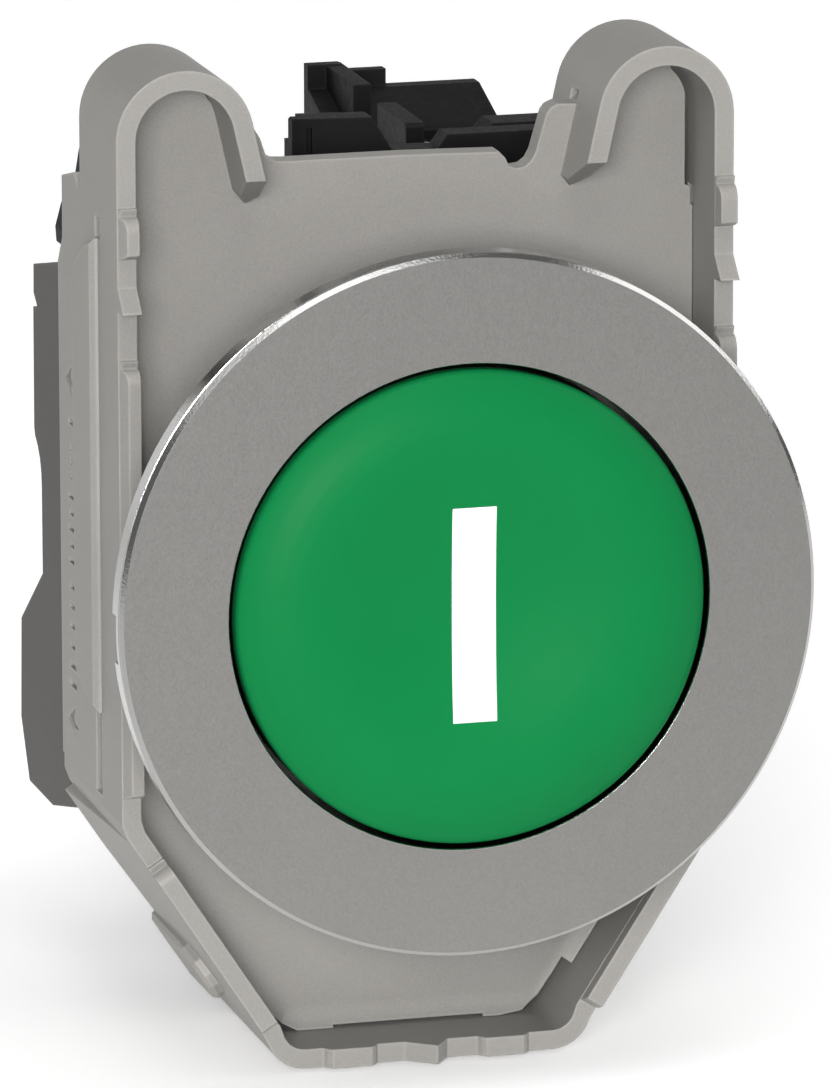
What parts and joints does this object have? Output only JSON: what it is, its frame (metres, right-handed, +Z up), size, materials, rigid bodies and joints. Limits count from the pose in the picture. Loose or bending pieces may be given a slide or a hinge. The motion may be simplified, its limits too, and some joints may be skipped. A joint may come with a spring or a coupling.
{
  "type": "industrial push button",
  "caption": "Flush panel push button with a green spring-return cap, satin bezel, screw-driven clamp bracket, bayonet fixing collar and a normally open contact block.",
  "frame": {"origin": "on the button's axis, on the rear face of the bezel flange, which is the plane where the panel gasket starts", "axes": "-Y is the way the button faces, +Y is the way it is pressed and goes into the panel, +Z up, +X to the right seen from the front"},
  "size_m": [0.036, 0.0519, 0.052],
  "materials": {
    "bezel_metal": "fine satin face with a polished rolled edge",
    "gasket_rubber": "matt black moulded rubber",
    "head_metal": "satin die-cast zinc alloy",
    "green_cap": "satin green moulded plastic",
    "white_mark": "white inlaid plastic",
    "black_plastic": "black glass-filled plastic, finely eroded",
    "bellows_rubber": "matt dark grey silicone rubber",
    "spring_steel": "drawn spring wire",
    "white_nylon": "natural nylon",
    "bracket_metal": "satin metal with a fine grain",
    "collar_metal": "satin die-cast zinc alloy, darker",
    "bright_steel": "bright zinc plated steel",
    "green_slider": "green moulded plastic",
    "copper_alloy": "bright copper alloy strip",
    "silver_contact": "silver alloy contact face"
  },
  "bodies": {
    "mounted_head": {"bezel_ring": "bezel_metal", "panel_gasket": "gasket_rubber", "head_barrel": "head_metal", "sealing_bellows": "bellows_rubber", "return_spring": "spring_steel", "collar_body": "collar_metal", "contact_carrier": "black_plastic", "contact_housing": "black_plastic", "contact_cover": "black_plastic", "terminal_strip_upper": "copper_alloy", "terminal_strip_lower": "copper_alloy", "fixed_contact_upper": "silver_contact", "fixed_contact_lower": "silver_contact", "plunger_spring": "spring_steel"},
    "button": {"button_cap": "green_cap", "on_mark": "white_mark", "cap_carrier": "black_plastic", "pusher_plate": "white_nylon", "retaining_clip": "spring_steel"},
    "lock": {"lock_lever": "black_plastic", "bayonet_ring": "bright_steel"},
    "clamp_bracket": {"bracket_strip": "bracket_metal", "bracket_plate": "bracket_metal"},
    "bracket_screw": {"clamp_screw": "bright_steel"},
    "contact_slider": {"contact_plunger": "green_slider", "contact_spring": "spring_steel"},
    "moving_contact": {"contact_bridge": "copper_alloy", "bridge_contacts": "silver_contact"},
    "upper_clamp": {"clamp_washer_upper": "bright_steel"},
    "upper_screw": {"terminal_screw_upper": "bright_steel"},
    "lower_clamp": {"clamp_washer_lower": "bright_steel"},
    "lower_screw": {"terminal_screw_lower": "bright_steel"}
  },
  "joints": [
    {"name": "button_press", "type": "slide", "parent": "mounted_head", "child": "button", "axis": [0, 1, 0], "range_m": [0, 0.0043], "stiffness_N_per_m": 400, "springref_m": -0.005, "deforming": ["return_spring", "sealing_bellows"]},
    {"name": "contact_plunger_slide", "type": "slide", "parent": "mounted_head", "child": "contact_slider", "axis": [0, 1, 0], "range_m": [0, 0.0043], "deforming": ["plunger_spring"]},
    {"name": "bridge_slide", "type": "slide", "parent": "mounted_head", "child": "moving_contact", "axis": [0, 1, 0], "range_m": [0, 0.0026], "deforming": ["contact_spring"]},
    {"name": "lock_lever_turn", "type": "hinge", "parent": "mounted_head", "child": "lock", "pos_m": [0, 0.0215, 0], "axis": [0, -1, 0], "range_deg": [0, 30]},
    {"name": "bracket_slide", "type": "slide", "parent": "mounted_head", "child": "clamp_bracket", "axis": [0, -1, 0], "range_m": [-0.00135, 0.00365]},
    {"name": "clamp_screw_turn", "type": "hinge", "parent": "clamp_bracket", "child": "bracket_screw", "pos_m": [0, 0.0266, -0.0196], "axis": [0, -1, 0], "range_deg": [-694.6, 1877.4]},
    {"name": "upper_washer_lift", "type": "slide", "parent": "mounted_head", "child": "upper_clamp", "axis": [0, 1, 0], "range_m": [0, 0.0018]},
    {"name": "upper_screw_turn", "type": "hinge", "parent": "upper_clamp", "child": "upper_screw", "pos_m": [0.0097, 0.04325, 0.0122], "axis": [0, 1, 0], "range_deg": [0, 1080.2]},
    {"name": "lower_washer_lift", "type": "slide", "parent": "mounted_head", "child": "lower_clamp", "axis": [0, 1, 0], "range_m": [0, 0.0018]},
    {"name": "lower_screw_turn", "type": "hinge", "parent": "lower_clamp", "child": "lower_screw", "pos_m": [0.0097, 0.04325, -0.0122], "axis": [0, 1, 0], "range_deg": [0, 1080.2]}
  ],
  "couplings": [
    {"joint": "contact_plunger_slide", "follows": "button_press", "ratio": 1},
    {"joint": "bridge_slide", "follows": "button_press", "ratio": 0.60464},
    {"joint": "clamp_screw_turn", "follows": "bracket_slide", "rad_per_m": 8976},
    {"joint": "upper_screw_turn", "follows": "upper_washer_lift", "rad_per_m": 10472},
    {"joint": "lower_screw_turn", "follows": "lower_washer_lift", "rad_per_m": 10472}
  ]
}
